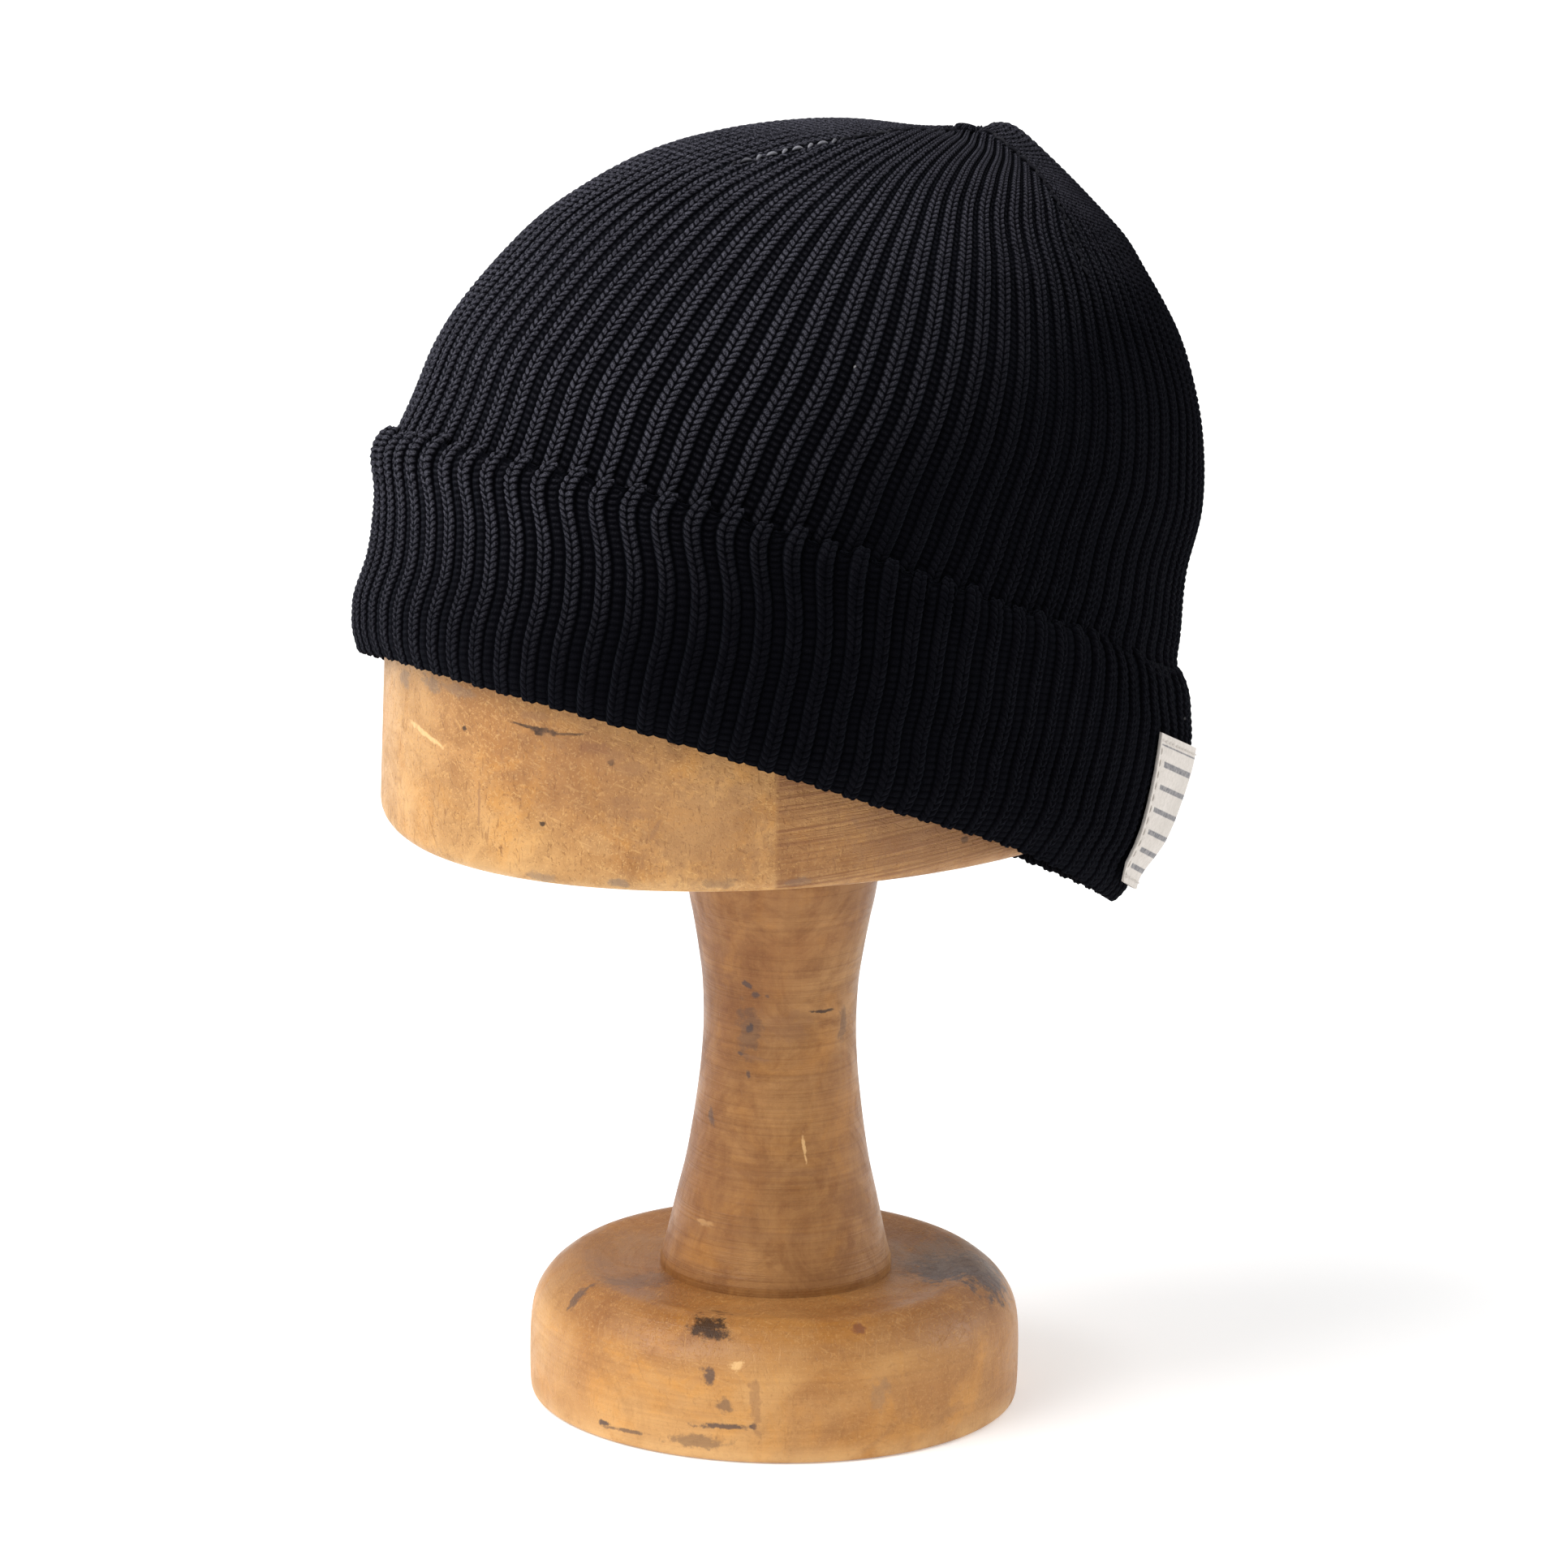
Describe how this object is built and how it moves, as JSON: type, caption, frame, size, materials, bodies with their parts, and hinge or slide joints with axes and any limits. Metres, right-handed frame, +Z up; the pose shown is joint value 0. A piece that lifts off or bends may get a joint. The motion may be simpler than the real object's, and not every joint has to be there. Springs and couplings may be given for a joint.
{
  "type": "watch cap on a wooden hat stand",
  "caption": "Close-fitting ribbed knit cap with a turned-up cuff and a sewn label, tilted back on a turned wooden head-shaped block, stem and round base.",
  "frame": {"origin": "middle of the stand's flat underside", "axes": "+Z up along the stand, -Y the front of the cap, +X the wearer's left"},
  "size_m": [0.1772, 0.2133, 0.297],
  "materials": {
    "knit": "matt rib knit in a very dark navy grey yarn",
    "label_cotton": "matt off-white woven cotton",
    "wood": "smooth turned pale hardwood, worn and lightly stained"
  },
  "bodies": {
    "root": {"crown": "knit", "cuff": "knit", "label": "label_cotton", "hat_block": "wood", "stem": "wood", "base": "wood"}
  },
  "joints": []
}
